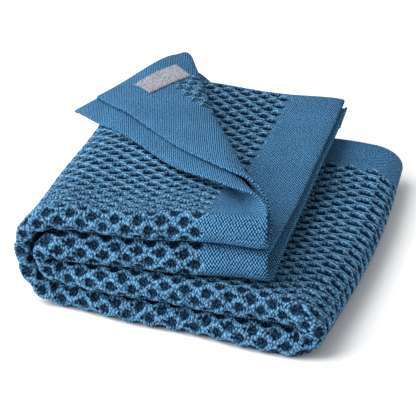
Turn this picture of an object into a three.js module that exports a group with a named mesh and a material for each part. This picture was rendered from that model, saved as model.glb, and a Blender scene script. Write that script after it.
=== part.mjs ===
// Knitted baby blanket, folded: one cloth of 750 x 1000 mm and a felt label sewn on near a corner.
// The cloth is folded in half to a strip of two plies, with the fold at the front.
// The strip is then folded over itself, so that eight plies lie on each other:
// top end, top band, outer left turn, bottom band, right roll, third band, inner left turn,
// second band, lower end. The back right corner of the top band is turned over.
// Millimetres, +X to the right along the strip, +Y to the back, +Z up.
import * as THREE from 'three';

// Cloth and label sizes
const CLOTH_WIDTH = 750;
const CLOTH_THICKNESS = 4;
const LABEL_LENGTH = 52;
const LABEL_WIDTH = 30;
const LABEL_THICKNESS = 1.2;
const LABEL_CLEARANCE = 0.5;
const LABEL_FROM_CORNER = 41;
const LABEL_FROM_EDGE = 27;
const LABEL_COLUMNS = 8;
const LABEL_ROWS = 4;

// The cloth under the label is drawn in, so the label covers this much more of the flat cloth
const LABEL_COVERS_ALONG = 1.25;
const LABEL_COVERS_ACROSS = 1.05;

const PLY_DEPTH = CLOTH_WIDTH / 2;
const HALF_THICKNESS = CLOTH_THICKNESS / 2;

// Where the strip turns. Each row is a place along the strip, from the top end to the lower end:
// x, y and z at the front fold, gap from the middle of the strip to either ply there,
// the same four at the back edge, and how far x bows to the right half way between.
const STATIONS = {
  topEnd: { x: 80, y: 0, z: 97.5, gap: 12, bow: 0, backX: 57, backY: 368, backZ: 74.2, backGap: 2.6 },
  topLeft: { x: -97, y: 0, z: 86.5, gap: 9, bow: -4, backX: -104, backY: 368, backZ: 75, backGap: 2.6 },
  bottomLeft: { x: -103, y: 3, z: 10.3, gap: 8.3, bow: -4, backX: -98, backY: 346, backZ: 6.4, backGap: 4.4 },
  bottomRight: { x: 107, y: -26, z: 12, gap: 10, bow: 9, backX: 102, backY: 314, backZ: 9, backGap: 6.4 },
  upperRight: { x: 107, y: -24, z: 40.5, gap: 10.6, bow: 9, backX: 102, backY: 314, backZ: 31, backGap: 6.4 },
  innerLower: { x: -103, y: 1, z: 33, gap: 9.2, bow: -4, backX: -98, backY: 344, backZ: 30, backGap: 4.4 },
  innerUpper: { x: -103, y: 0, z: 58.7, gap: 11.3, bow: -4, backX: -98, backY: 367, backZ: 65, backGap: 3 },
  lowerEnd: { x: 80, y: -2, z: 67.3, gap: 12.8, bow: 0, backX: 65, backY: 368, backZ: 64, backGap: 3.4 },
};

// The lengths of the strip between those places. side is where a turn bulges: -1 left, 1 right.
// bulge is how far it stands out at the front and the back, lift how much higher than half way
// up it is widest, gap its half gap half way round.
const LENGTHS = [
  { name: 'topBand', from: 'topEnd', to: 'topLeft', length: 175, steps: 21, side: 0 },
  {
    name: 'outerTurn', from: 'topLeft', to: 'bottomLeft', length: 124, steps: 8, side: -1,
    bulge: 38, backBulge: 37, lift: 5, backLift: 6, gap: 4.6, backGap: 4.2,
  },
  { name: 'bottomBand', from: 'bottomLeft', to: 'bottomRight', length: 202, steps: 4, side: 0 },
  {
    name: 'roll', from: 'bottomRight', to: 'upperRight', length: 54, steps: 8, side: 1,
    bulge: 19, backBulge: 22, lift: 0, backLift: 0, gap: 8.6, backGap: 6.2,
  },
  { name: 'thirdBand', from: 'upperRight', to: 'innerLower', length: 215, steps: 4, side: 0 },
  {
    name: 'innerTurn', from: 'innerLower', to: 'innerUpper', length: 49, steps: 6, side: -1,
    bulge: 16.5, backBulge: 20, lift: 1, backLift: 1, gap: 6, backGap: 4,
  },
  { name: 'secondBand', from: 'innerUpper', to: 'lowerEnd', length: 181, steps: 6, side: 0 },
];

// The plies stand apart at the round front fold and settle together towards the back,
// and the pile sinks behind the folds
const SETTLE_POWER = 5;
const TOP_SETTLE_POWER = 10;
const SINK_POWER = 2.5;

// Grid lines from the front fold to the cloth's edge: round the fold, close together where the
// turned corner begins and where the back hangs down, wide apart between
const FOLD_TRAVEL = 17;
const FOLD_STEPS = 3;
const LINE_ZONES = [
  { to: 62, steps: 4 },
  { to: 122, steps: 3 },
  { to: 318, steps: 7 },
  { to: 338, steps: 1 },
  { to: 356, steps: 4 },
  { to: 375, steps: 1 },
];

// The turned-over corner: where its crease leaves the end edge, the crease's slant from +Y,
// the radius round which the upper ply turns, and how the corner comes to rest on the pile
const CREASE_START_Y = -12;
const CREASE_SLANT = THREE.MathUtils.degToRad(25.7);
const CREASE_BOW = 3.5;
const CREASE_RADIUS = 9;
const CREASE_BACK_RADIUS = 3.2;
const CREASE_LENGTH = 421;
const CORNER_REST = 5;
const CORNER_SETTLES_IN = 75;
const CORNER_DRAWN_IN = 0.83;
const LOWER_PLY_SHORT = 12;

// Past the pile's left side it droops: at first along a slope, then more and more
const OVERHANG_SLOPE = 0.24;
const OVERHANG_ROUND = 10;
const OVERHANG_DROOP = 0.0011;

// A low hump where the label is: its height, its place and reach back from the crease, and
// between which places along the crease it grows
const HUMP_HEIGHT = 3.2;
const HUMP_BACK = 24;
const HUMP_REACH = 26;
const HUMP_FROM_ALONG = 325;
const HUMP_TO_ALONG = 395;
const HUMP_STARTS_IN = 15;

// Grid lines of the top band run along the crease: so many in the turn, past it and before it
const CREASE_LINES = 6;
const CORNER_LINES = 5;

// The back of the second band hangs down behind the bands under it, and its end leans left
const TAIL_START_Y = 337;
const TAIL_RADIUS = 7;
const TAIL_ANGLE = THREE.MathUtils.degToRad(72);
const TAIL_LEAN = 0.28;

// Soft waves of the pile: how high, and how far from crest to crest
const WAVE_HEIGHT = 1.3;
const WAVE_LENGTH = 190;
const FRONT_WAVE = 1.5;
const WAVE_FROM_Z = 6;
const WAVE_FULL_Z = 50;

const { clamp, lerp, smoothstep } = THREE.MathUtils;

// A value of a place between the front and the back
function between(place, key, depth) {
  const backKey = `back${key[0].toUpperCase()}${key.slice(1)}`;
  const share = key === 'z' ? 1 - (1 - depth) ** SINK_POWER : depth;
  const bow = key === 'x' ? place.bow * Math.sin(Math.PI * depth) : 0;
  return lerp(place[key], place[backKey], share) + bow;
}

function settled(place, depth) {
  const power = place === STATIONS.topEnd || place === STATIONS.topLeft ? TOP_SETTLE_POWER : SETTLE_POWER;
  return place.backGap + (place.gap - place.backGap) * (1 - depth) ** power;
}

// Half the distance between the two plies
function halfGap(part, along, depth) {
  const start = settled(STATIONS[part.from], depth);
  const end = settled(STATIONS[part.to], depth);
  if (part.side === 0) return lerp(start, end, smoothstep(along, 0, 1));
  const round = Math.sin(Math.PI * along) ** 2;
  return lerp(lerp(start, end, along), settled(part, depth), round);
}

// The middle of the strip in the X-Z plane, with the direction from it to the outer ply
function stripMiddle(part, along, depth) {
  const from = STATIONS[part.from];
  const to = STATIONS[part.to];
  const fromX = between(from, 'x', depth);
  const toX = between(to, 'x', depth);
  const fromZ = stationHeight(from, depth);
  const toZ = stationHeight(to, depth);
  const gap = halfGap(part, along, depth);
  if (part.side === 0) {
    const up = part.name === 'topBand' || part.name === 'thirdBand' ? 1 : -1;
    const z = part.name === 'bottomBand' ? HALF_THICKNESS + gap : lerp(fromZ, toZ, along);
    return { x: lerp(fromX, toX, along), z, outX: 0, outZ: up, gap };
  }
  const bulge = part.side * between(part, 'bulge', depth);
  const lift = between(part, 'lift', depth);
  const half = (fromZ - toZ) / 2;
  const angle = Math.PI * along;
  const tangent = new THREE.Vector2(
    bulge * Math.cos(angle), lift * Math.sin(2 * angle) - half * Math.sin(angle),
  ).normalize();
  return {
    x: lerp(fromX, toX, along) + bulge * Math.sin(angle),
    z: (fromZ + toZ) / 2 + half * Math.cos(angle) + lift * Math.sin(angle) ** 2,
    outX: tangent.y,
    outZ: -tangent.x,
    gap,
  };
}

// The bottom band's outer ply lies flat on the ground, whatever the gap above it
function stationHeight(station, depth) {
  if (station === STATIONS.bottomLeft || station === STATIONS.bottomRight) {
    return HALF_THICKNESS + settled(station, depth);
  }
  return between(station, 'z', depth);
}

// The lower ply of the top band ends short of the upper one, by nothing at the front fold and
// by most at the back edge
function endShort(outer, depth) {
  return outer ? 0 : LOWER_PLY_SHORT * depth;
}

// How far back a place of the top band lies behind its front fold, 0 to 1
function topDepth(y) {
  const { gap, backY } = STATIONS.topEnd;
  return clamp((y - gap) / (backY - gap), 0, 1);
}

// Height of the top band's upper ply over a place in plan, also past the pile's left side
function topPlyHeight(x, y) {
  const depth = topDepth(y);
  const right = between(STATIONS.topEnd, 'x', depth);
  const left = between(STATIONS.topLeft, 'x', depth);
  const along = (right - x) / (right - left);
  const middle = lerp(between(STATIONS.topEnd, 'z', depth), between(STATIONS.topLeft, 'z', depth), along);
  const overhang = Math.max(left - x, 0);
  const droop = OVERHANG_SLOPE * (Math.hypot(overhang, OVERHANG_ROUND) - OVERHANG_ROUND)
    + OVERHANG_DROOP * overhang ** 2;
  return middle + halfGap(LENGTHS[0], clamp(along, 0, 1), depth) - droop;
}

// Where a place of the top band lies from the crease: how far past it and how far along it.
// The crease bows to the left between its ends.
function fromCrease(x, y) {
  const rightward = x - STATIONS.topEnd.x;
  const backward = y - CREASE_START_Y;
  const along = backward * Math.cos(CREASE_SLANT) - rightward * Math.sin(CREASE_SLANT);
  const bow = CREASE_BOW * Math.sin(Math.PI * clamp(along / CREASE_LENGTH, 0, 1));
  const past = rightward * Math.cos(CREASE_SLANT) + backward * Math.sin(CREASE_SLANT) + bow;
  return { along, past };
}

// The radius round which the upper ply turns at a place along the crease
function creaseRadius(along) {
  return lerp(CREASE_RADIUS, CREASE_BACK_RADIUS, clamp(along / CREASE_LENGTH, 0, 1));
}

// Turns what lies past the crease over to the left, the lower ply outside the upper one.
// away is how far the point lies above the middle of the strip.
function turnCorner(point, away) {
  const { along, past } = fromCrease(point.x, point.y);
  if (past <= 0) return point;
  const acrossX = Math.cos(CREASE_SLANT);
  const acrossY = Math.sin(CREASE_SLANT);
  const footX = point.x - past * acrossX;
  const footY = point.y - past * acrossY;
  const footTop = topPlyHeight(footX, footY);
  const upperRadius = creaseRadius(along);
  const plyGap = halfGap(LENGTHS[0], 0, topDepth(footY)) - away;
  const radius = upperRadius + plyGap;
  const angle = past / radius;
  if (angle < Math.PI) {
    const sideways = radius * Math.sin(angle);
    return new THREE.Vector3(
      footX + sideways * acrossX,
      footY + sideways * acrossY,
      footTop + upperRadius - radius * Math.cos(angle),
    );
  }
  const back = (past - Math.PI * radius) * CORNER_DRAWN_IN;
  const x = footX - back * acrossX;
  const y = footY - back * acrossY;
  const settle = smoothstep(back, 0, CORNER_SETTLES_IN);
  const rise = lerp(2 * upperRadius, CORNER_REST, settle) + plyGap + hump(back, along);
  return new THREE.Vector3(x, y, topPlyHeight(x, y) + rise);
}

function hump(back, along) {
  const grown = smoothstep(along, HUMP_FROM_ALONG, HUMP_TO_ALONG) * smoothstep(back, 0, HUMP_STARTS_IN);
  return HUMP_HEIGHT * grown * Math.exp(-(((back - HUMP_BACK) / HUMP_REACH) ** 2));
}

// Bends the back of the second band down
function hangTail(point, along, plyGap) {
  const past = point.y - TAIL_START_Y;
  if (past <= 0) return point;
  const radius = TAIL_RADIUS + plyGap;
  const most = TAIL_ANGLE * smoothstep(along, 0.03, 0.4);
  const angle = Math.min(past / radius, most);
  const rest = past - angle * radius;
  const drop = radius * (1 - Math.cos(angle)) + rest * Math.sin(angle);
  return new THREE.Vector3(
    point.x - TAIL_LEAN * along * drop,
    TAIL_START_Y + radius * Math.sin(angle) + rest * Math.cos(angle),
    point.z - drop,
  );
}

// A point of the cloth's middle surface. along is 0 to 1 in one length of the strip,
// across is the way from the front fold, over the outer ply if positive, else the inner one.
function clothPoint(part, along, across) {
  const from = STATIONS[part.from];
  const to = STATIONS[part.to];
  const eased = part.side === 0 ? along : smoothstep(along, 0, 1);
  const frontY = lerp(from.y, to.y, eased);
  const backY = lerp(from.backY, to.backY, eased);
  const outer = across > 0;
  const travel = Math.abs(across);
  const frontGap = halfGap(part, along, 0);
  const foldTravel = frontGap * Math.PI / 2;
  const foldAngle = Math.min(travel / frontGap, Math.PI / 2);
  const stretch = (backY - frontY - frontGap) / (PLY_DEPTH - foldTravel);
  const straight = Math.max(travel - foldTravel, 0) * stretch;
  const reach = frontGap * (1 - Math.cos(foldAngle)) + straight;
  const depth = clamp(straight / (backY - frontY - frontGap), 0, 1);
  const middle = stripMiddle(part, along, depth);
  const away = middle.gap * Math.sin(foldAngle) * (outer ? 1 : -1);
  if (part.name === 'topBand') middle.x -= endShort(outer, depth) * (1 - along);
  let point = new THREE.Vector3(
    middle.x + middle.outX * away, frontY + reach, middle.z + middle.outZ * away,
  );
  if (part.name === 'topBand') point = turnCorner(point, away);
  if (part.name === 'secondBand') point = hangTail(point, along, outer ? 0 : 2 * middle.gap);
  return wave(point);
}

// The pile is not quite even: its layers rise and sink together
function wave(point) {
  const turn = 2 * Math.PI / WAVE_LENGTH;
  const share = smoothstep(point.z, WAVE_FROM_Z, WAVE_FULL_Z);
  const lift = Math.sin(turn * (point.x + 0.4 * point.y)) + 0.6 * Math.sin(turn * (1.3 * point.y - 0.5 * point.x));
  const push = Math.sin(turn * (1.7 * point.x + 2.3 * point.z));
  point.z += share * WAVE_HEIGHT * lift;
  point.y += FRONT_WAVE * push;
  return point;
}

// Places of the grid lines along the strip and across it
function stripLines() {
  const lines = LENGTHS.flatMap((part) => Array.from(
    { length: part.steps }, (_, step) => ({ part, step }),
  ));
  lines.push({ part: LENGTHS[LENGTHS.length - 1], step: LENGTHS[LENGTHS.length - 1].steps });
  return lines;
}

function acrossLines() {
  const half = [];
  for (let step = 1; step <= FOLD_STEPS; step += 1) half.push(FOLD_TRAVEL * step / FOLD_STEPS);
  for (const zone of LINE_ZONES) {
    const from = half[half.length - 1];
    for (let step = 1; step <= zone.steps; step += 1) half.push(lerp(from, zone.to, step / zone.steps));
  }
  return [...half.map((value) => -value).reverse(), 0, ...half];
}

// How far along its length a grid line of the strip lies, at one place across it.
// Those of the top band keep to the crease: some before it, some in its turn, some past it.
function alongPlace({ part, step }, across) {
  if (part.name !== 'topBand') return step / part.steps;
  const y = Math.abs(across) - FOLD_TRAVEL + STATIONS.topEnd.gap;
  const depth = topDepth(y);
  const endX = between(STATIONS.topEnd, 'x', depth) - endShort(across > 0, depth);
  const slantwise = (endX - between(STATIONS.topLeft, 'x', depth)) * Math.cos(CREASE_SLANT);
  const { along, past } = fromCrease(endX, y);
  const plyGap = across > 0 ? 0 : 2 * settled(STATIONS.topEnd, depth);
  const turn = Math.PI * (creaseRadius(along) + plyGap);
  const creaseStep = CORNER_LINES + CREASE_LINES;
  if (step > creaseStep) {
    return lerp(past / slantwise, 1, (step - creaseStep) / (part.steps - creaseStep));
  }
  const aligned = step < CORNER_LINES
    ? lerp(0, past - turn, step / CORNER_LINES)
    : lerp(past - turn, past, (step - CORNER_LINES) / CREASE_LINES);
  const even = past * step / creaseStep;
  return lerp(even, aligned, smoothstep(past, 1.1 * turn, 1.8 * turn)) / slantwise;
}

// Both faces of a sheet, from its middle surface: one point and one normal for each grid place
function faces(columns, rows, pointAt) {
  const grid = columns.map((_, i) => rows.map((__, j) => pointAt(i, j)));
  const normals = grid.map((line, i) => line.map((_, j) => {
    const alongWay = new THREE.Vector3().subVectors(
      grid[Math.min(i + 1, columns.length - 1)][j], grid[Math.max(i - 1, 0)][j],
    );
    const acrossWay = new THREE.Vector3().subVectors(
      line[Math.min(j + 1, rows.length - 1)], line[Math.max(j - 1, 0)],
    );
    return new THREE.Vector3().crossVectors(acrossWay, alongWay).normalize();
  }));
  return { grid, normals };
}

// A closed shell between two offsets of a gridded surface. Its facets are cut the same way in
// space on the inner ply, before the front fold, and on the outer ply after it.
function shell({ grid, normals }, low, high) {
  const countI = grid.length;
  const countJ = grid[0].length;
  const turnJ = (countJ - 1) / 2;
  const positions = [];
  const indices = [];
  for (const offset of [low, high]) {
    for (let i = 0; i < countI; i += 1) {
      for (let j = 0; j < countJ; j += 1) {
        const p = grid[i][j].clone().addScaledVector(normals[i][j], offset);
        positions.push(p.x, p.y, p.z);
      }
    }
  }
  const at = (side, i, j) => side * countI * countJ + i * countJ + j;
  const quad = (a, b, c, d) => indices.push(a, b, c, a, c, d);
  for (let i = 0; i < countI - 1; i += 1) {
    for (let j = 0; j < countJ - 1; j += 1) {
      const corners = [[i, j], [i, j + 1], [i + 1, j + 1], [i + 1, j]];
      if (j < turnJ) corners.push(corners.shift());
      quad(...corners.map((corner) => at(1, ...corner)));
      quad(...corners.reverse().map((corner) => at(0, ...corner)));
    }
  }
  const lastI = countI - 1;
  const lastJ = countJ - 1;
  for (let i = 0; i < lastI; i += 1) {
    quad(at(0, i, 0), at(1, i, 0), at(1, i + 1, 0), at(0, i + 1, 0));
    quad(at(1, i, lastJ), at(0, i, lastJ), at(0, i + 1, lastJ), at(1, i + 1, lastJ));
  }
  for (let j = 0; j < lastJ; j += 1) {
    quad(at(1, 0, j), at(0, 0, j), at(0, 0, j + 1), at(1, 0, j + 1));
    quad(at(0, lastI, j), at(1, lastI, j), at(1, lastI, j + 1), at(0, lastI, j + 1));
  }
  const geometry = new THREE.BufferGeometry();
  geometry.setAttribute('position', new THREE.Float32BufferAttribute(positions, 3));
  geometry.setIndex(indices);
  geometry.computeVertexNormals();
  return geometry;
}

const strip = stripLines();
const across = acrossLines();
const cloth = faces(
  strip, across, (i, j) => clothPoint(strip[i].part, alongPlace(strip[i], across[j]), across[j]),
);

// The label lies on the turned-over lower ply, near the corner
function labelFaces() {
  const topBand = LENGTHS[0];
  const columns = Array.from({ length: LABEL_COLUMNS + 1 }, (_, step) => step / LABEL_COLUMNS);
  const rows = Array.from({ length: LABEL_ROWS + 1 }, (_, step) => step / LABEL_ROWS);
  return faces(columns, rows, (i, j) => clothPoint(
    topBand,
    (LABEL_FROM_CORNER + LABEL_COVERS_ALONG * LABEL_LENGTH * columns[i]) / topBand.length,
    LABEL_FROM_EDGE + LABEL_COVERS_ACROSS * LABEL_WIDTH * rows[j] - PLY_DEPTH,
  ));
}

const knit = new THREE.MeshStandardMaterial({ color: 0x3c76a6, roughness: 0.92, metalness: 0 });
const felt = new THREE.MeshStandardMaterial({ color: 0x9a9ca6, roughness: 0.95, metalness: 0 });

const blanketMesh = new THREE.Mesh(shell(cloth, -HALF_THICKNESS, HALF_THICKNESS), knit);
blanketMesh.name = 'blanket';

const labelLow = HALF_THICKNESS + LABEL_CLEARANCE;
const labelMesh = new THREE.Mesh(shell(labelFaces(), labelLow, labelLow + LABEL_THICKNESS), felt);
labelMesh.name = 'label';

// The origin is under the middle of the whole, on the ground
const whole = new THREE.Group();
whole.add(blanketMesh, labelMesh);
const box = new THREE.Box3().setFromObject(whole, true);
const centre = box.getCenter(new THREE.Vector3());
blanketMesh.position.set(-centre.x, -centre.y, 0);
labelMesh.position.set(-centre.x, -centre.y, 0);

export default whole;
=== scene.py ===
"""Knitted baby blanket, folded, with a felt label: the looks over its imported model."""
import math

import bmesh
import bpy
import numpy as np
from mathutils import Matrix, Vector, noise


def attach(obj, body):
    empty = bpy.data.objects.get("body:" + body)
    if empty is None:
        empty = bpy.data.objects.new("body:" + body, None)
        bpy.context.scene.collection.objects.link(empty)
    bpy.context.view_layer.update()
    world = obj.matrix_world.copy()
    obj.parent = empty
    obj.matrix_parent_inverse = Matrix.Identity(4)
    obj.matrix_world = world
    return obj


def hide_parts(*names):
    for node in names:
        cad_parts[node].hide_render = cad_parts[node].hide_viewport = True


bl_info = {
    "name": "Folded Knitted Blanket",
    "version": (1, 0, 0),
    "blender": (4, 5, 0),
    "location": "3D View > Sidebar > Blanket",
    "description": "A folded honeycomb-knit baby blanket with a plain felt label",
    "category": "Add Mesh",
}

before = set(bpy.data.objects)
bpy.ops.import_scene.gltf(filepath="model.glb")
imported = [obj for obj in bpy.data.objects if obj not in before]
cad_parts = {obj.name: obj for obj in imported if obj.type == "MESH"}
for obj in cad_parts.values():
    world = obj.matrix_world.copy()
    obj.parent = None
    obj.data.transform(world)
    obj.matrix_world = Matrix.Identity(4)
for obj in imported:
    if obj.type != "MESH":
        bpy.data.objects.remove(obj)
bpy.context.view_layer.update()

MM = 0.001

# The flat cloth, in millimetres. u runs along it, v across it, with the front fold at v = 0.
CLOTH_LENGTH = 1000
PLY_DEPTH = 375
HALF_THICKNESS = 2.0
BORDER_LONG = 50
BORDER_SIDE = 55
BORDER_SIDE_HUNG = 17
BORDER_WIDENS = 15

# Where the strip turns: x, y, z and the half gap between its plies at the front fold,
# and the same four at the back edge
STATIONS = {
    "top_end": dict(
        x=80, y=0, z=97.5, gap=12, bow=0, back_x=57, back_y=368, back_z=74.2, back_gap=2.6),
    "top_left": dict(
        x=-97, y=0, z=86.5, gap=9, bow=-4, back_x=-104, back_y=368, back_z=75, back_gap=2.6),
    "bottom_left": dict(
        x=-103, y=3, z=10.3, gap=8.3, bow=-4, back_x=-98, back_y=346, back_z=6.4, back_gap=4.4),
    "bottom_right": dict(
        x=107, y=-26, z=12, gap=10, bow=9, back_x=102, back_y=314, back_z=9, back_gap=6.4),
    "upper_right": dict(
        x=107, y=-24, z=40.5, gap=10.6, bow=9, back_x=102, back_y=314, back_z=31, back_gap=6.4),
    "inner_lower": dict(
        x=-103, y=1, z=33, gap=9.2, bow=-4, back_x=-98, back_y=344, back_z=30, back_gap=4.4),
    "inner_upper": dict(
        x=-103, y=0, z=58.7, gap=11.3, bow=-4, back_x=-98, back_y=367, back_z=65, back_gap=3),
    "lower_end": dict(
        x=80, y=-2, z=67.3, gap=12.8, bow=0, back_x=65, back_y=368, back_z=64, back_gap=3.4),
}

# The lengths of the strip between those places. side is where a turn bulges, up the way its
# outer ply faces where it lies flat.
LENGTHS = [
    dict(name="top_band", start="top_end", end="top_left", length=175, side=0, up=1),
    dict(name="outer_turn", start="top_left", end="bottom_left", length=124, side=-1, bulge=38,
         back_bulge=37, lift=5, back_lift=6, gap=4.6, back_gap=4.2),
    dict(name="bottom_band", start="bottom_left", end="bottom_right", length=202, side=0, up=-1),
    dict(name="roll", start="bottom_right", end="upper_right", length=54, side=1, bulge=19,
         back_bulge=22, lift=0, back_lift=0, gap=8.6, back_gap=6.2),
    dict(name="third_band", start="upper_right", end="inner_lower", length=215, side=0, up=1),
    dict(name="inner_turn", start="inner_lower", end="inner_upper", length=49, side=-1, bulge=16.5,
         back_bulge=20, lift=1, back_lift=1, gap=6, back_gap=4),
    dict(name="second_band", start="inner_upper", end="lower_end", length=181, side=0, up=-1),
]

SETTLE_POWER = 5
TOP_SETTLE_POWER = 10
SINK_POWER = 2.5
CREASE_START_Y = -12
CREASE_SLANT = math.radians(25.7)
CREASE_BOW = 3.5
CREASE_RADIUS = 9
CREASE_BACK_RADIUS = 3.2
CREASE_LENGTH = 421
CORNER_REST = 5
CORNER_SETTLES_IN = 75
CORNER_DRAWN_IN = 0.83
LOWER_PLY_SHORT = 12
LOWER_PLY_LONGER = 3
OVERHANG_SLOPE = 0.24
OVERHANG_ROUND = 10
OVERHANG_DROOP = 0.0011
HUMP_HEIGHT = 1.6
HUMP_BACK = 24
HUMP_REACH = 26
HUMP_FROM_ALONG = 325
HUMP_TO_ALONG = 395
HUMP_STARTS_IN = 15
TAIL_START_Y = 337
TAIL_RADIUS = 7
TAIL_ANGLE = math.radians(72)
TAIL_LEAN = 0.28
TAIL_STARTS_ALONG = 0.03
TAIL_FULL_ALONG = 0.4
WAVE_HEIGHT = 1.3
WAVE_LENGTH = 190
FRONT_WAVE = 1.5
WAVE_FROM_Z = 6
WAVE_FULL_Z = 50
MIDDLE_X = -15.984
MIDDLE_Y = 170.995

# The label, in millimetres
LABEL_LENGTH = 52
LABEL_WIDTH = 30
LABEL_CELLS = (39, 22)
LABEL_THICKNESS = 1.2
LABEL_CLEARANCE = 0.5
LABEL_FROM_CORNER = 41
LABEL_FROM_EDGE = 27
LABEL_COVERS_ALONG = 1.25
LABEL_COVERS_ACROSS = 1.05
SEAM_FROM_EDGE = 2
SEAM_DEPTH = 0.35
SEAM_REACH = 1.1
SEAM_SHADE = (1.3, 0.4)
STITCH_PITCH = 3.4
STITCH_SIZE = (0.34 * STITCH_PITCH, 0.55, 0.42)
STITCH_RISE = 0.1
EDGE_REACH = 0.1
EDGE_DROP = 0.35
EDGE_ROUGHNESS = 0.35
EDGE_ROUGHNESS_SCALE = 0.9


def lerp(low, high, share):
    return low + (high - low) * share


def smoothstep(value, low, high):
    share = np.clip((value - low) / (high - low), 0, 1)
    return share * share * (3 - 2 * share)


def between(place, key, depth):
    """A value of a place between the front and the back."""
    share = 1 - (1 - depth) ** SINK_POWER if key == "z" else depth
    value = lerp(place[key], place["back_" + key], share)
    return value + place["bow"] * np.sin(np.pi * depth) if key == "x" else value


def settled(place, depth):
    on_top = place is STATIONS["top_end"] or place is STATIONS["top_left"]
    power = TOP_SETTLE_POWER if on_top else SETTLE_POWER
    return place["back_gap"] + (place["gap"] - place["back_gap"]) * (1 - depth) ** power


def half_gap(part, along, depth):
    """Half the distance between the two plies."""
    start = settled(STATIONS[part["start"]], depth)
    end = settled(STATIONS[part["end"]], depth)
    if part["side"] == 0:
        return lerp(start, end, smoothstep(along, 0, 1))
    return lerp(lerp(start, end, along), settled(part, depth), np.sin(np.pi * along) ** 2)


def station_height(name, depth):
    place = STATIONS[name]
    if name in ("bottom_left", "bottom_right"):
        return HALF_THICKNESS + settled(place, depth)
    return between(place, "z", depth)


def strip_middle(part, along, depth):
    """The middle of the strip in the X-Z plane, the way to the outer ply, and the half gap."""
    start, end = STATIONS[part["start"]], STATIONS[part["end"]]
    start_z = station_height(part["start"], depth)
    end_z = station_height(part["end"], depth)
    gap = half_gap(part, along, depth)
    x = lerp(between(start, "x", depth), between(end, "x", depth), along)
    if part["side"] == 0:
        z = HALF_THICKNESS + gap if part["name"] == "bottom_band" else lerp(start_z, end_z, along)
        return x, z, 0.0, part["up"], gap
    bulge = part["side"] * between(part, "bulge", depth)
    lift = between(part, "lift", depth)
    half = (start_z - end_z) / 2
    angle = np.pi * along
    way_x = bulge * np.cos(angle)
    way_z = lift * np.sin(2 * angle) - half * np.sin(angle)
    size = np.hypot(way_x, way_z)
    x = x + bulge * np.sin(angle)
    z = (start_z + end_z) / 2 + half * np.cos(angle) + lift * np.sin(angle) ** 2
    return x, z, way_z / size, -way_x / size, gap


def top_depth(y):
    gap, back_y = STATIONS["top_end"]["gap"], STATIONS["top_end"]["back_y"]
    return np.clip((y - gap) / (back_y - gap), 0, 1)


def top_ply_height(x, y):
    """Height of the top band's upper ply over a place in plan."""
    depth = top_depth(y)
    end, left = STATIONS["top_end"], STATIONS["top_left"]
    right_x, left_x = between(end, "x", depth), between(left, "x", depth)
    along = (right_x - x) / (right_x - left_x)
    middle = lerp(between(end, "z", depth), between(left, "z", depth), along)
    overhang = np.maximum(left_x - x, 0)
    droop = OVERHANG_SLOPE * (np.hypot(overhang, OVERHANG_ROUND) - OVERHANG_ROUND)
    droop = droop + OVERHANG_DROOP * overhang ** 2
    return middle + half_gap(LENGTHS[0], np.clip(along, 0, 1), depth) - droop


def from_crease(x, y):
    """How far along the turned corner's crease a place lies, and how far past it."""
    rightward = x - STATIONS["top_end"]["x"]
    backward = y - CREASE_START_Y
    along = backward * math.cos(CREASE_SLANT) - rightward * math.sin(CREASE_SLANT)
    bow = CREASE_BOW * np.sin(np.pi * np.clip(along / CREASE_LENGTH, 0, 1))
    past = rightward * math.cos(CREASE_SLANT) + backward * math.sin(CREASE_SLANT) + bow
    return along, past


def turn_corner(x, y, z, away):
    """Turns what lies past the crease over to the left."""
    along, past = from_crease(x, y)
    across_x, across_y = math.cos(CREASE_SLANT), math.sin(CREASE_SLANT)
    foot_x, foot_y = x - past * across_x, y - past * across_y
    foot_top = top_ply_height(foot_x, foot_y)
    upper_radius = lerp(CREASE_RADIUS, CREASE_BACK_RADIUS, np.clip(along / CREASE_LENGTH, 0, 1))
    ply_gap = half_gap(LENGTHS[0], np.zeros_like(x), top_depth(foot_y)) - away
    radius = upper_radius + ply_gap
    angle = np.minimum(past / radius, np.pi)
    sideways = radius * np.sin(angle)
    back = (past - np.pi * radius) * CORNER_DRAWN_IN
    over_x, over_y = foot_x - back * across_x, foot_y - back * across_y
    rise = lerp(2 * upper_radius, CORNER_REST, smoothstep(back, 0, CORNER_SETTLES_IN)) + ply_gap
    hump = np.exp(-((back - HUMP_BACK) / HUMP_REACH) ** 2)
    hump = HUMP_HEIGHT * hump * smoothstep(along, HUMP_FROM_ALONG, HUMP_TO_ALONG)
    over_z = top_ply_height(over_x, over_y) + rise + hump * smoothstep(back, 0, HUMP_STARTS_IN)
    turning = (past > 0) & (past < np.pi * radius)
    over = past >= np.pi * radius
    new_x = np.where(over, over_x, np.where(turning, foot_x + sideways * across_x, x))
    new_y = np.where(over, over_y, np.where(turning, foot_y + sideways * across_y, y))
    turned_z = foot_top + upper_radius - radius * np.cos(angle)
    return new_x, new_y, np.where(over, over_z, np.where(turning, turned_z, z))


def hang_tail(x, y, z, along, ply_gap):
    """Bends the back of the second band down."""
    past = np.maximum(y - TAIL_START_Y, 0)
    radius = TAIL_RADIUS + ply_gap
    bend = TAIL_ANGLE * smoothstep(along, TAIL_STARTS_ALONG, TAIL_FULL_ALONG)
    angle = np.minimum(past / radius, bend)
    rest = past - angle * radius
    hung_y = TAIL_START_Y + radius * np.sin(angle) + rest * np.cos(angle)
    drop = radius * (1 - np.cos(angle)) + rest * np.sin(angle)
    return x - TAIL_LEAN * along * drop, np.where(past > 0, hung_y, y), z - drop


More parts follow.
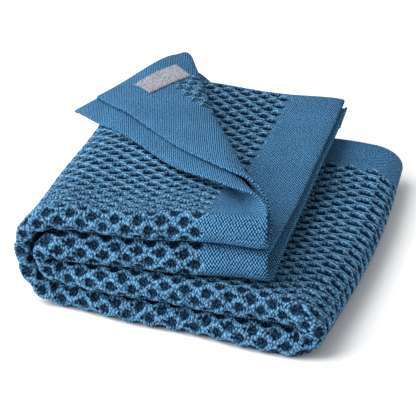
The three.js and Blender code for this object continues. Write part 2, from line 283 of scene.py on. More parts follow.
def length_point(part, along, across):
    """Places of the cloth's middle surface in one length of the strip."""
    start, end = STATIONS[part["start"]], STATIONS[part["end"]]
    eased = along if part["side"] == 0 else smoothstep(along, 0, 1)
    front_y = lerp(start["y"], end["y"], eased)
    back_y = lerp(start["back_y"], end["back_y"], eased)
    outer = across > 0
    travel = np.abs(across)
    front_gap = half_gap(part, along, 0.0)
    fold_travel = front_gap * np.pi / 2
    fold_angle = np.minimum(travel / front_gap, np.pi / 2)
    deep = back_y - front_y - front_gap
    straight = np.maximum(travel - fold_travel, 0) * deep / (PLY_DEPTH - fold_travel)
    reach = front_gap * (1 - np.cos(fold_angle)) + straight
    depth = np.clip(straight / deep, 0, 1)
    x, z, out_x, out_z, gap = strip_middle(part, along, depth)
    away = gap * np.sin(fold_angle) * np.where(outer, 1, -1)
    if part["name"] == "top_band":
        x = x - np.where(outer, 0, LOWER_PLY_SHORT * depth) * (1 - along)
    if part["name"] == "second_band":
        x = x + LOWER_PLY_LONGER * along * (1 + away / gap) / 2
    x, y, z = x + out_x * away, front_y + reach, z + out_z * away
    if part["name"] == "top_band":
        x, y, z = turn_corner(x, y, z, away)
    if part["name"] == "second_band":
        x, y, z = hang_tail(x, y, z, along, np.where(outer, 0, 2 * gap))
    return x, y, z


def wave(x, y, z):
    """The pile is not quite even: its layers rise and sink together."""
    turn = 2 * math.pi / WAVE_LENGTH
    share = smoothstep(z, WAVE_FROM_Z, WAVE_FULL_Z)
    lift = np.sin(turn * (x + 0.4 * y)) + 0.6 * np.sin(turn * (1.3 * y - 0.5 * x))
    push = np.sin(turn * (1.7 * x + 2.3 * z))
    return x, y + FRONT_WAVE * push, z + share * WAVE_HEIGHT * lift


def folded(u, v):
    """Where places of the flat cloth lie in the folded pile, in millimetres."""
    points = np.zeros((len(u), 3))
    begin = 0
    for index, part in enumerate(LENGTHS):
        finish = begin + part["length"]
        first, last = index == 0, index == len(LENGTHS) - 1
        inside = ((u >= begin) | first) & ((u < finish) | last)
        along = (u[inside] - begin) / part["length"]
        points[inside] = np.stack(wave(*length_point(part, along, v[inside])), axis=1)
        begin = finish
    return points - np.array([MIDDLE_X, MIDDLE_Y, 0])


def folded_normals(u, v, step=1.0):
    """The way the right side of the cloth faces at those places."""
    along_way = folded(u + step, v) - folded(u - step, v)
    across_way = folded(u, v + step) - folded(u, v - step)
    normals = np.cross(across_way, along_way)
    return normals / np.linalg.norm(normals, axis=1)[:, None]


# The knit. Pockets stand in rows along the cloth, every other row moved on by half a pitch.
POCKET_PITCH = 20
ROW_PITCH = 8
POCKET_WALL = (2.6, 5.8)
BUMP_REACH = 6.5
CELL_SLACK = 1
OPEN_AT_FOLD = 60
SHUT_FROM_FOLD = 110
SHUT_SHARE = 0.92

# Where the border widens and the pockets are shallower, towards the turned corner
CORNER_SHARE = 0.45
CORNER_ALONG = 250
CORNER_ACROSS = (60, 200)

# The part of the cloth whose lower border hangs out of sight
HUNG_FROM_ALONG = 700

# Stretches along the cloth whose right side shows once it is folded, and limits past the crease
TOP_SHOWN_TO = 180
LEFT_TURN_SHOWN = (170, 305)
UNDERSIDE_SHOWN = (295, 505)
ROLL_SHOWN = (495, 600)
SECOND_BAND_SHOWN_FROM = 775
SECOND_BAND_FROM_CREASE = -30
KNIT_FROM_CREASE = 14
FLAP_FROM_CREASE = 20
FRONT_FOLD_DEPTH = 44


def knit_share(u, v):
    """How deep the pockets are at a place: 0 in the border, less where a corner is stretched."""
    near_corner = float(smoothstep(-v, *CORNER_ACROSS)) if u < CORNER_ALONG else 0
    end = BORDER_LONG + BORDER_WIDENS * near_corner
    side = BORDER_SIDE_HUNG if u > HUNG_FROM_ALONG and v < 0 else BORDER_SIDE
    first = end + POCKET_PITCH / 2 - CELL_SLACK
    last = CLOTH_LENGTH - BORDER_LONG - POCKET_PITCH / 2 + CELL_SLACK
    if not (first < u < last and abs(v) < PLY_DEPTH - side - ROW_PITCH + CELL_SLACK):
        return 0
    return CORNER_SHARE if near_corner > 0.5 else 1


def past_crease(points):
    rightward = points[:, 0] + MIDDLE_X
    return from_crease(rightward, points[:, 1] + MIDDLE_Y)[1]


def within(value, limits):
    return (value >= limits[0]) & (value < limits[1])


def shown_outside(u, v):
    """Whether the right side of the cloth can be seen there once it is folded."""
    flat_x = lerp(STATIONS["top_end"]["x"], STATIONS["top_left"]["x"], u / LENGTHS[0]["length"])
    past = from_crease(flat_x, np.abs(v))[1]
    in_plan = past_crease(folded(u, v))
    on_top = (u < TOP_SHOWN_TO) & (v > 0) & (past < KNIT_FROM_CREASE)
    on_flap = (u < TOP_SHOWN_TO) & (v < 0) & (past > FLAP_FROM_CREASE)
    round_left = within(u, LEFT_TURN_SHOWN) & (v > 0)
    underneath = within(u, UNDERSIDE_SHOWN) & (v > 0)
    on_roll = within(u, ROLL_SHOWN) & (v > 0)
    on_second = (u > SECOND_BAND_SHOWN_FROM) & (v < 0) & (in_plan > SECOND_BAND_FROM_CREASE)
    at_front = np.abs(v) < FRONT_FOLD_DEPTH
    return on_top | on_flap | round_left | underneath | on_roll | on_second | at_front


def openness(v):
    """The pockets are stretched open at the front fold."""
    return lerp(1, SHUT_SHARE, smoothstep(np.abs(v), OPEN_AT_FOLD, SHUT_FROM_FOLD))


def relief(u, v, depth, rise):
    """How far the knit stands above the sheet: down in the pockets, up on the bumps."""
    near = np.full(len(u), np.inf)
    bump = np.full(len(u), np.inf)
    for shift_u, shift_v in ((0, 0), (POCKET_PITCH / 2, ROW_PITCH)):
        du = (u - shift_u + POCKET_PITCH / 2) % POCKET_PITCH - POCKET_PITCH / 2
        dv = (v - shift_v + ROW_PITCH) % (2 * ROW_PITCH) - ROW_PITCH
        near = np.minimum(near, np.hypot(du, dv))
        dv = (v - shift_v) % (2 * ROW_PITCH) - ROW_PITCH
        bump = np.minimum(bump, np.hypot(du, dv))
    fall = 1 - smoothstep(near / openness(v), *POCKET_WALL)
    swell = 1 - smoothstep(bump, 0, BUMP_REACH)
    return rise * swell - depth * fall


# Rings of faces round each pocket, from its rim to its floor, and the border's rings outwards
POCKET_RINGS = (5.6, 4.5, 3.2)
UNDERSIDE_RINGS = (5.4, 3.6)
UNDERSIDE_FLAT = (300, 500)
UNCUT_SIDE = 7
RING_INSET = 0.3
RINGS_LONG = 40
RINGS_SIDE = 15
BORDER_RINGS = (0.75, 0.5, 0.25, 0)
RIM_REACH = 1.5
EDGE_LOOP = 2.8
EDGE_LOOP_REACH = 0.9
EDGE_CUT = 1.3
EDGE_THINNED = 0.72
EDGE_THINNED_TO = 3
TOUCHING = 0.01
LATTICE_CELLS = 100

# Cuts across the plain faces, so that they follow the folds
FOLD_CUTS = (3, 6, 9, 12, 15, 19, 25, 35)
FOLD_REACH = 60
CREASE_CUTS = (-6, 0, 5, 10, 15, 20, 25, 30, 36, 44, 56, 70)
TAIL_CUTS = (-338, -341, -344, -347, -350, -353, -356)
TAIL_CUTS_FROM_ALONG = 780
TAIL_CUTS_TO = -320
TURN_STEP = 7
TURN_MARGIN = 25
BEYOND = 50

# How both sides of the cloth share the unwrapped square
BAKE_MARGIN = 3
RIGHT_SIDE_SHARE = 0.74
WRONG_SIDE_FROM = 0.76
WRONG_SIDE_SHARE = 0.22


def cut_plain(flat, is_cut, place, way):
    """Cuts the plain faces of the flat cloth along a line, without parting them."""
    faces = [face for face in flat.faces if is_cut(face)]
    edges = {edge for face in faces for edge in face.edges}
    verts = {vert for face in faces for vert in face.verts}
    bmesh.ops.bisect_plane(
        flat, geom=[*faces, *edges, *verts], dist=TOUCHING, plane_co=place, plane_no=way)


def flat_cloth():
    """One side of the flat cloth: rhombic cells with a pocket in each, framed by the border."""
    flat = bmesh.new()
    flat.faces.layers.int.new("carved")
    share = flat.faces.layers.float.new("knit")
    half_u, half_v = POCKET_PITCH / 2, ROW_PITCH
    middle = CLOTH_LENGTH / 2 + half_u
    lattice = Matrix((
        (half_u, half_u, 0, middle), (half_v, -half_v, 0, 0), (0, 0, 1, 0), (0, 0, 0, 1)))
    bmesh.ops.create_grid(
        flat, x_segments=LATTICE_CELLS, y_segments=LATTICE_CELLS, size=LATTICE_CELLS / 2,
        matrix=lattice)
    for face in flat.faces:
        middle = face.calc_center_median()
        face[share] = knit_share(middle.x, middle.y)
    field_u, field_v = CLOTH_LENGTH / 2 - RINGS_LONG, PLY_DEPTH - RINGS_SIDE
    for way_u, way_v in ((1, 0), (-1, 0), (0, 1), (0, -1)):
        place = (CLOTH_LENGTH / 2 + way_u * field_u, way_v * field_v, 0)
        bmesh.ops.bisect_plane(
            flat, geom=[*flat.verts, *flat.edges, *flat.faces], dist=TOUCHING,
            plane_co=place, plane_no=(way_u, way_v, 0), clear_outer=True)
    size_u, size_v = field_u, field_v
    edges = [edge for edge in flat.edges if edge.is_boundary]
    for ring in BORDER_RINGS:
        made = bmesh.ops.extrude_edge_only(flat, edges=edges)["geom"]
        verts = [item for item in made if isinstance(item, bmesh.types.BMVert)]
        edges = [item for item in made if isinstance(item, bmesh.types.BMEdge) and item.is_boundary]
        for face in (item for item in made if isinstance(item, bmesh.types.BMFace)):
            face[share] = 0
        next_u = CLOTH_LENGTH / 2 - ring * RINGS_LONG
        next_v = PLY_DEPTH - ring * RINGS_SIDE
        bmesh.ops.scale(
            flat, verts=verts, vec=(next_u / size_u, next_v / size_v, 1),
            space=Matrix.Translation((-CLOTH_LENGTH / 2, 0, 0)))
        size_u, size_v = next_u, next_v
    lengths = {}
    for edge in edges:
        lengths.setdefault(round(edge.calc_length() / EDGE_CUT), []).append(edge)
    for parts, alike in lengths.items():
        if parts > 1:
            bmesh.ops.bisect_edges(flat, edges=alike, cuts=parts - 1)
    return flat


def closed_cloth():
    """Both sides of the flat cloth and its rim. Height is 1 on the right side, -1 on the wrong."""
    flat = flat_cloth()
    bmesh.ops.translate(flat, verts=flat.verts[:], vec=(0, 0, -1))
    made = bmesh.ops.extrude_face_region(flat, geom=flat.faces[:], use_keep_orig=True)["geom"]
    lifted = [item for item in made if isinstance(item, bmesh.types.BMVert)]
    bmesh.ops.translate(flat, verts=lifted, vec=(0, 0, 2))
    walls = [edge for edge in flat.edges if abs(edge.verts[0].co.z - edge.verts[1].co.z) > 1]
    bmesh.ops.subdivide_edges(flat, edges=walls, cuts=1)
    rim = [vert for vert in flat.verts if abs(vert.co.z) < 0.5]
    for vert in rim:
        beyond_u = abs(vert.co.x - CLOTH_LENGTH / 2) > CLOTH_LENGTH / 2 - TOUCHING
        beyond_v = abs(vert.co.y) > PLY_DEPTH - TOUCHING
        along = vert.co.y if beyond_u else vert.co.x
        reach = RIM_REACH + EDGE_LOOP_REACH * math.sin(math.pi * along / EDGE_LOOP) ** 2
        vert.co.x += beyond_u * math.copysign(reach, vert.co.x - CLOTH_LENGTH / 2)
        vert.co.y += beyond_v * math.copysign(reach, vert.co.y)
    bmesh.ops.recalc_face_normals(flat, faces=flat.faces[:])
    return flat


def knit_cells(flat):
    """The rhombic cells of the right side whose pockets can be seen, marked as carved."""
    share, carved = flat.faces.layers.float["knit"], flat.faces.layers.int["carved"]
    cells = [face for face in flat.faces if face[share] > 0 and face.calc_center_median().z > 0.9]
    middles = np.array([face.calc_center_median()[:] for face in cells])
    seen = shown_outside(middles[:, 0], middles[:, 1])
    knit = [face for face, shown in zip(cells, seen) if shown]
    for face in knit:
        face[carved] = 1
    return knit


def refine_plain(flat):
    """Cuts the plain faces finely enough to follow the folds and turns."""
    carved = flat.faces.layers.int["carved"]

    def cut_within(u_from, u_to, v_from, v_to, place, way):
        def is_cut(face):
            middle = face.calc_center_median()
            inside = u_from < middle.x < u_to and v_from < middle.y < v_to
            return inside and face[carved] == 0
        cut_plain(flat, is_cut, place, way)

    last = CLOTH_LENGTH + BEYOND
    for cut in FOLD_CUTS:
        cut_within(-BEYOND, last, -FOLD_REACH, FOLD_REACH, (0, cut, 0), (0, 1, 0))
        cut_within(-BEYOND, last, -FOLD_REACH, FOLD_REACH, (0, -cut, 0), (0, 1, 0))
    for cut in TAIL_CUTS:
        cut_within(TAIL_CUTS_FROM_ALONG, last, -PLY_DEPTH, TAIL_CUTS_TO, (0, cut, 0), (0, 1, 0))
    begin = 0
    for part in LENGTHS:
        finish = begin + part["length"]
        steps = round(part["length"] / TURN_STEP) if part["side"] else 0
        for step in range(1, steps):
            place = (lerp(begin, finish, step / steps), 0, 0)
            cut_within(
                begin - TURN_MARGIN, finish + TURN_MARGIN, -PLY_DEPTH, PLY_DEPTH, place, (1, 0, 0))
        begin = finish
    cos, sin = math.cos(CREASE_SLANT), math.sin(CREASE_SLANT)
    for past in CREASE_CUTS:
        reach = CREASE_START_Y + past / sin
        top_end = LENGTHS[0]["length"]
        cut_within(-BEYOND, top_end, 0, PLY_DEPTH, (0, reach, 0), (-cos, sin, 0))
        cut_within(-BEYOND, top_end, -PLY_DEPTH, 0, (0, -reach, 0), (-cos, -sin, 0))


def sink_pockets(flat, knit):
    """Makes rings of faces round each pocket."""
    first, last = UNDERSIDE_FLAT
    deep = [face for face in knit if not first < face.calc_center_median().x < last]
    under = [face for face in knit if first < face.calc_center_median().x < last]
    for cells, rings, cuts in ((deep, POCKET_RINGS, 2), (under, UNDERSIDE_RINGS, 1)):
        sides = {edge for face in cells for edge in face.edges if edge.calc_length() > UNCUT_SIDE}
        bmesh.ops.bisect_edges(flat, edges=list(sides), cuts=cuts)
        middles = {face: face.calc_center_bounds().copy() for face in cells}
        for ring in rings:
            bmesh.ops.inset_individual(flat, faces=cells, thickness=RING_INSET)
            for face, middle in middles.items():
                for vert in face.verts:
                    arm = vert.co - middle
                    vert.co = middle + arm * (ring / arm.length)


def knit_masks(flat):
    """For each corner of the mesh, how deep its knit is, and whether its pocket is carved."""
    share, mark = flat.faces.layers.float["knit"], flat.faces.layers.int["carved"]
    shares, carved = np.zeros(len(flat.verts)), np.zeros(len(flat.verts))
    for face in flat.faces:
        if face[share] > 0:
            around = [vert.index for vert in face.verts]
            shares[around] = face[share]
            carved[around] = np.maximum(carved[around], face[mark])
    flat.faces.layers.int.remove(mark)
    return shares, carved


def face_corners(mesh):
    """The vertex at each face corner, and the face that it belongs to."""
    corner = np.zeros(len(mesh.loops), dtype=np.int32)
    mesh.loops.foreach_get("vertex_index", corner)
    totals = np.zeros(len(mesh.polygons), dtype=np.int32)
    mesh.polygons.foreach_get("loop_total", totals)
    return corner, np.repeat(np.arange(len(totals)), totals)


def unwrap_cloth(mesh, u, v, side):
    """Lays out the flat cloth for baking, right side below the wrong side, and in its own size."""
    corner, owner = face_corners(mesh)
    count = np.bincount(owner)
    on_right = (np.bincount(owner, weights=side[corner]) / count)[owner] > 0
    spread_u = (u[corner] + BAKE_MARGIN) / (CLOTH_LENGTH + 2 * BAKE_MARGIN)
    spread_v = (v[corner] + PLY_DEPTH + BAKE_MARGIN) / (2 * PLY_DEPTH + 2 * BAKE_MARGIN)
    spread_v = np.where(
        on_right, RIGHT_SIDE_SHARE * spread_v, WRONG_SIDE_FROM + WRONG_SIDE_SHARE * spread_v)
    baked = mesh.uv_layers.new(name="OFBake")
    baked.data.foreach_set("uv", np.stack([spread_u, spread_v], axis=1).ravel())
    cloth = mesh.uv_layers.new(name="Cloth")
    cloth.data.foreach_set("uv", (np.stack([u[corner], v[corner]], axis=1) * MM).ravel())


def face_outwards(mesh):
    """Turns a closed mesh right side out."""
    shell = bmesh.new()
    shell.from_mesh(mesh)
    if shell.calc_volume(signed=True) < 0:
        bmesh.ops.reverse_faces(shell, faces=shell.faces[:])
        shell.to_mesh(mesh)
    shell.free()


def finished_mesh(name, built, points):
    """A smooth mesh of what was built, with its corners moved to their places."""
    mesh = bpy.data.meshes.new(name)
    built.to_mesh(mesh)
    built.free()
    mesh.vertices.foreach_set("co", (points * MM).ravel())
    mesh.polygons.foreach_set("use_smooth", np.ones(len(mesh.polygons), dtype=bool))
    return mesh


def blanket_mesh(sizes):
    """The whole blanket: built flat, knitted, then folded."""
    flat = closed_cloth()
    knit = knit_cells(flat)
    refine_plain(flat)
    sink_pockets(flat, knit)
    flat.verts.index_update()
    shares, carved = knit_masks(flat)
    places = np.array([vert.co[:] for vert in flat.verts])
    u, v, side = places[:, 0], places[:, 1], places[:, 2]
    depth = sizes.pocket_depth / MM * carved
    height = relief(u, v, depth, sizes.bump_rise / MM) * shares * (side > 0.5)
    half_length = CLOTH_LENGTH / 2
    from_edge = np.minimum(half_length - np.abs(u - half_length), PLY_DEPTH - np.abs(v))
    round_edge = lerp(EDGE_THINNED, 1.0, smoothstep(from_edge, 0, EDGE_THINNED_TO))
    away = side * HALF_THICKNESS * round_edge + height
    points = folded(u, v) + folded_normals(u, v) * away[:, None]
    points[:, 2] = np.maximum(points[:, 2], 0)
    mesh = finished_mesh("blanket", flat, points)
    unwrap_cloth(mesh, u, v, side)
    face_outwards(mesh)
    mesh.update()
    return mesh


def stitch_places():
    """Where each stitch of the label's seam lies, and how far it is turned."""
    side_u = LABEL_LENGTH / 2 - SEAM_FROM_EDGE
    side_v = LABEL_WIDTH / 2 - SEAM_FROM_EDGE
    for half, other, turn in ((side_u, side_v, 0), (side_v, side_u, math.pi / 2)):
        count = round(2 * half / STITCH_PITCH)
        for step in range(count):
            run = lerp(-half, half, (step + 0.5) / count)
            for beside in (other, -other):
                x, y = (beside, run) if turn else (run, beside)
                yield x, y, turn


def label_mesh():
    """A thin felt rectangle on the turned-over corner, with its seam of small stitches."""
    felt = bmesh.new()
    bmesh.ops.create_grid(
        felt, x_segments=LABEL_CELLS[0], y_segments=LABEL_CELLS[1], size=0.5,
        matrix=Matrix.Diagonal((LABEL_LENGTH, LABEL_WIDTH, 1, 1)))
    made = bmesh.ops.extrude_face_region(felt, geom=felt.faces[:], use_keep_orig=True)["geom"]
    lifted = [item for item in made if isinstance(item, bmesh.types.BMVert)]
    bmesh.ops.translate(felt, verts=lifted, vec=(0, 0, LABEL_THICKNESS))
    bmesh.ops.recalc_face_normals(felt, faces=felt.faces[:])
    for vert in felt.verts:
        from_edge = min(LABEL_LENGTH / 2 - abs(vert.co.x), LABEL_WIDTH / 2 - abs(vert.co.y))
        if vert.co.z > 0:
            sunk = SEAM_DEPTH * math.exp(-((from_edge - SEAM_FROM_EDGE) / SEAM_REACH) ** 2)
            vert.co.z -= sunk + (EDGE_DROP if from_edge < EDGE_REACH else 0)
        if from_edge < EDGE_REACH:
            vert.co.x += noise.noise(vert.co * EDGE_ROUGHNESS_SCALE) * EDGE_ROUGHNESS
            elsewhere = vert.co * EDGE_ROUGHNESS_SCALE + Vector((9, 0, 0))
            vert.co.y += noise.noise(elsewhere) * EDGE_ROUGHNESS
    felt_faces = len(felt.faces)
    for x, y, turn in stitch_places():
        place = Matrix.Translation((x, y, LABEL_THICKNESS - SEAM_DEPTH + STITCH_RISE))
        shape = Matrix.Diagonal((*STITCH_SIZE, 1))
        bmesh.ops.create_icosphere(
            felt, subdivisions=2, radius=1, matrix=place @ Matrix.Rotation(turn, 4, "Z") @ shape)
    places = np.array([vert.co[:] for vert in felt.verts])
    u = LABEL_FROM_CORNER + LABEL_COVERS_ALONG * (LABEL_LENGTH / 2 + places[:, 0])
    v = LABEL_FROM_EDGE + LABEL_COVERS_ACROSS * (LABEL_WIDTH / 2 + places[:, 1]) - PLY_DEPTH
    away = HALF_THICKNESS + LABEL_CLEARANCE + places[:, 2]
    points = folded(u, v) + folded_normals(u, v) * away[:, None]
    mesh = finished_mesh("label", felt, points)
    corner = face_corners(mesh)[0]
    cloth = mesh.uv_layers.new(name="Cloth")
    cloth.data.foreach_set("uv", (places[corner][:, :2] * MM).ravel())
    threads = np.arange(len(mesh.polygons)) >= felt_faces
    mesh.polygons.foreach_set("material_index", threads.astype(np.int32))
    mesh.update()
    return mesh


def place_piece(name, mesh, node):
    piece = bpy.data.objects.new(name, mesh)
    bpy.context.scene.collection.objects.link(piece)
    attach(piece, "root")
    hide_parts(node)
    return piece


# Sockets of the node that blends two colours
BLEND_SHARE = 0
BLEND_FIRST = 6
BLEND_SECOND = 7
BLEND_RESULT = 2


class Wiring:
    """Adds nodes to a tree and joins them."""

    def __init__(self, tree):
        self.tree = tree

    def feed(self, socket, value):
        if isinstance(value, bpy.types.NodeSocket):
            self.tree.links.new(value, socket)
        elif value is not None:
            socket.default_value = value

    def add(self, kind, inputs=None, **settings):
        made = self.tree.nodes.new(kind)
        for name, value in settings.items():
            setattr(made, name, value)
        for name, value in (inputs or {}).items():
            self.feed(made.inputs[name], value)
        return made

    def math(self, operation, *values):
        made = self.add("ShaderNodeMath", operation=operation)
        for socket, value in zip(made.inputs, values):
            self.feed(socket, value)
        return made.outputs[0]

    def reach(self, across, up):
        """How far a place is from the middle of its own axes."""
        square = self.math("MULTIPLY", up, up)
        return self.math("SQRT", self.math("MULTIPLY_ADD", across, across, square))

    def total(self, *shares):
        """The sum of values, each times its share."""
        result = 0.0
        for value, share in shares:
            result = self.math("MULTIPLY_ADD", value, share, result)
        return result

    def grade(self, value, low, high):
        """0 at low to 1 at high, softly."""
        made = self.add("ShaderNodeMapRange", interpolation_type="SMOOTHSTEP", inputs={
            "Value": value, "From Min": low, "From Max": high})
        return made.outputs["Result"]

    def blend(self, share, first, second):
        """A colour from the first to the second."""
        made = self.add("ShaderNodeMix", data_type="RGBA")
        self.feed(made.inputs[BLEND_SHARE], share)
        self.feed(made.inputs[BLEND_FIRST], first)
        self.feed(made.inputs[BLEND_SECOND], second)
        return made.outputs[BLEND_RESULT]

    def group(self, tree, inputs):
        made = self.add("ShaderNodeGroup", node_tree=tree)
        for name, value in inputs.items():
            self.feed(made.inputs[name], value)
        return made.outputs


def new_group(name, inputs, outputs):
    """An empty node group with named inputs and outputs. Returns its wiring and both ends."""
    tree = bpy.data.node_groups.new(name, "ShaderNodeTree")
    for label, kind in inputs:
        tree.interface.new_socket(label, in_out="INPUT", socket_type="NodeSocket" + kind)
    for label, kind in outputs:
        tree.interface.new_socket(label, in_out="OUTPUT", socket_type="NodeSocket" + kind)
    wires = Wiring(tree)
    return wires, wires.add("NodeGroupInput").outputs, wires.add("NodeGroupOutput").inputs


# The stitches' sizes
FIELD_STITCH = 2.1 * MM
BORDER_STITCH = 1.9 * MM
STITCH_TURN = math.radians(45)
STITCH_TALL = 1.35
LOOP_EDGE = (0.56, 0.18)

# The pockets' painted shade, the strands' painted highlight and the eyes' painted shade, in millimetres
# from each pocket's middle
POCKET_DARKENS = (5.5, 4.1)
POCKET_RUFFLE = 0.9
POCKET_WIDER = 0.14
POCKET_LOWER = 0.05
STRAND_RING = 6.0
STRAND_FADES = (1.4, 0.3)
STRAND_SIDE = (3.0, -1.5)
STRAND_SQUEEZE = 0.2
STRAND_FLATTENS = 0.85
EYE_FADES = (1.7, 0.8)


def flat_place(wires, vector):
    """Where a point lies on the flat cloth, in millimetres."""
    scaled = wires.add("ShaderNodeVectorMath", operation="SCALE", inputs={
        "Vector": vector, "Scale": 1 / MM}).outputs[0]
    parts = wires.add("ShaderNodeSeparateXYZ", inputs={"Vector": scaled}).outputs
    return parts["X"], parts["Y"]


def from_lattice(wires, value, pitch, shift):
    """How far a value is from the nearest step of a pitch."""
    moved = wires.math("ADD", value, pitch / 2 - shift)
    return wires.math("SUBTRACT", wires.math("FLOORED_MODULO", moved, pitch), pitch / 2)


def pocket_knit_group():
    """Masks of the knit: pocket floors, which the material darkens as painted shade, the strand beside
    each, which it lightens as a painted highlight, the eye that it rings, which it darkens as painted
    shade, and the front fold, where the pockets are stretched open."""
    wires, given, result = new_group(
        "Pocket knit", [("Flat cloth", "Vector"), ("Ruffle", "Float")],
        [("Pocket", "Float"), ("Strand", "Float"), ("Eye", "Float"), ("Fold", "Float")])
    u, v = flat_place(wires, given["Flat cloth"])
    own_u = from_lattice(wires, u, POCKET_PITCH, 0)
    own_v = from_lattice(wires, v, 2 * ROW_PITCH, 0)
    next_u = from_lattice(wires, u, POCKET_PITCH, POCKET_PITCH / 2)
    next_v = from_lattice(wires, v, 2 * ROW_PITCH, ROW_PITCH)
    is_next = wires.math("LESS_THAN", wires.reach(next_u, next_v), wires.reach(own_u, own_v))
    across = wires.math("MULTIPLY_ADD", is_next, wires.math("SUBTRACT", next_u, own_u), own_u)
    up = wires.math("MULTIPLY_ADD", is_next, wires.math("SUBTRACT", next_v, own_v), own_v)
    from_fold = wires.math("ABSOLUTE", v)
    at_fold = wires.grade(from_fold, SHUT_FROM_FOLD, OPEN_AT_FOLD)
    wider = wires.math("MULTIPLY_ADD", at_fold, POCKET_WIDER, 1 - POCKET_WIDER)
    lower = wires.math("MULTIPLY_ADD", at_fold, -POCKET_LOWER, 1 + POCKET_LOWER)
    near = wires.reach(wires.math("MULTIPLY", across, wider), wires.math("MULTIPLY", up, lower))
    open_share = wires.math("MULTIPLY_ADD", at_fold, 1 - SHUT_SHARE, SHUT_SHARE)
    wires.feed(result["Fold"], at_fold)
    opened = wires.math("DIVIDE", near, open_share)
    ruffled = wires.math("MULTIPLY_ADD", given["Ruffle"], POCKET_RUFFLE, opened)
    wires.feed(result["Pocket"], wires.grade(ruffled, *POCKET_DARKENS))
    # The strand: a painted highlight on the crest beside each pocket, also raised by bump
    is_left = wires.math("LESS_THAN", across, 0.0)
    squeeze = wires.math("MULTIPLY_ADD", is_left, -STRAND_SQUEEZE, 1.0)
    ring = wires.reach(wires.math("MULTIPLY", across, squeeze), up)
    off_ring = wires.math("ABSOLUTE", wires.math("SUBTRACT", ring, STRAND_RING))
    beside = wires.grade(across, *STRAND_SIDE)
    strand = wires.math("MULTIPLY", wires.grade(off_ring, *STRAND_FADES), beside)
    flattened = wires.math("MULTIPLY_ADD", at_fold, -STRAND_FLATTENS, 1.0)
    wires.feed(result["Strand"], wires.math("MULTIPLY", strand, flattened))
    # The eye: a small dimple, darkened as painted shade and sunk by bump
    from_eye = wires.reach(wires.math("ADD", across, STRAND_RING), up)
    wires.feed(result["Eye"], wires.grade(from_eye, *EYE_FADES))
    return wires.tree


def stitch_group():
    """Single loops of yarn: how round each stands, 0 to 1, and its own share of brightness."""
    wires, given, result = new_group(
        "Stitches", [("Flat cloth", "Vector"), ("Size", "Float"), ("Unevenness", "Float")],
        [("Loop", "Float"), ("Brightness", "Float")])
    turned = wires.add("ShaderNodeMapping", inputs={
        "Vector": given["Flat cloth"], "Rotation": (0, 0, STITCH_TURN),
        "Scale": (1, 1 / STITCH_TALL, 1)}).outputs["Vector"]
    cells = wires.add("ShaderNodeTexVoronoi", voronoi_dimensions="2D", inputs={
        "Vector": turned, "Scale": wires.math("DIVIDE", 1.0, given["Size"]),
        "Randomness": given["Unevenness"]}).outputs
    wires.feed(result["Loop"], wires.grade(cells["Distance"], *LOOP_EDGE))
    wires.feed(result["Brightness"], wires.grade(cells["Color"], 0.25, 0.75))
    return wires.tree


def fibre_group():
    """Uneven fibres: fine specks and larger clouds, each 0 to 1."""
    wires, given, result = new_group(
        "Fibres", [("Vector", "Vector"), ("Speck size", "Float"), ("Cloud size", "Float")],
        [("Specks", "Float"), ("Clouds", "Float")])
    for name, size, detail in (("Specks", "Speck size", 3.0), ("Clouds", "Cloud size", 2.0)):
        made = wires.add("ShaderNodeTexNoise", inputs={
            "Vector": given["Vector"], "Scale": wires.math("DIVIDE", 1.0, given[size]), "Detail": detail})
        wires.feed(result[name], wires.grade(made.outputs["Fac"], 0.3, 0.7))
    return wires.tree


def shared_fibres():
    """The fibre group, made once."""
    return bpy.data.node_groups.get("Fibres") or fibre_group()


def cloth_place(wires):
    return wires.add("ShaderNodeUVMap", uv_map="Cloth").outputs["UV"]


def new_material(name):
    material = bpy.data.materials.new(name)
    material.use_nodes = True
    shader = material.node_tree.nodes["Principled BSDF"]
    return material, Wiring(material.node_tree), shader


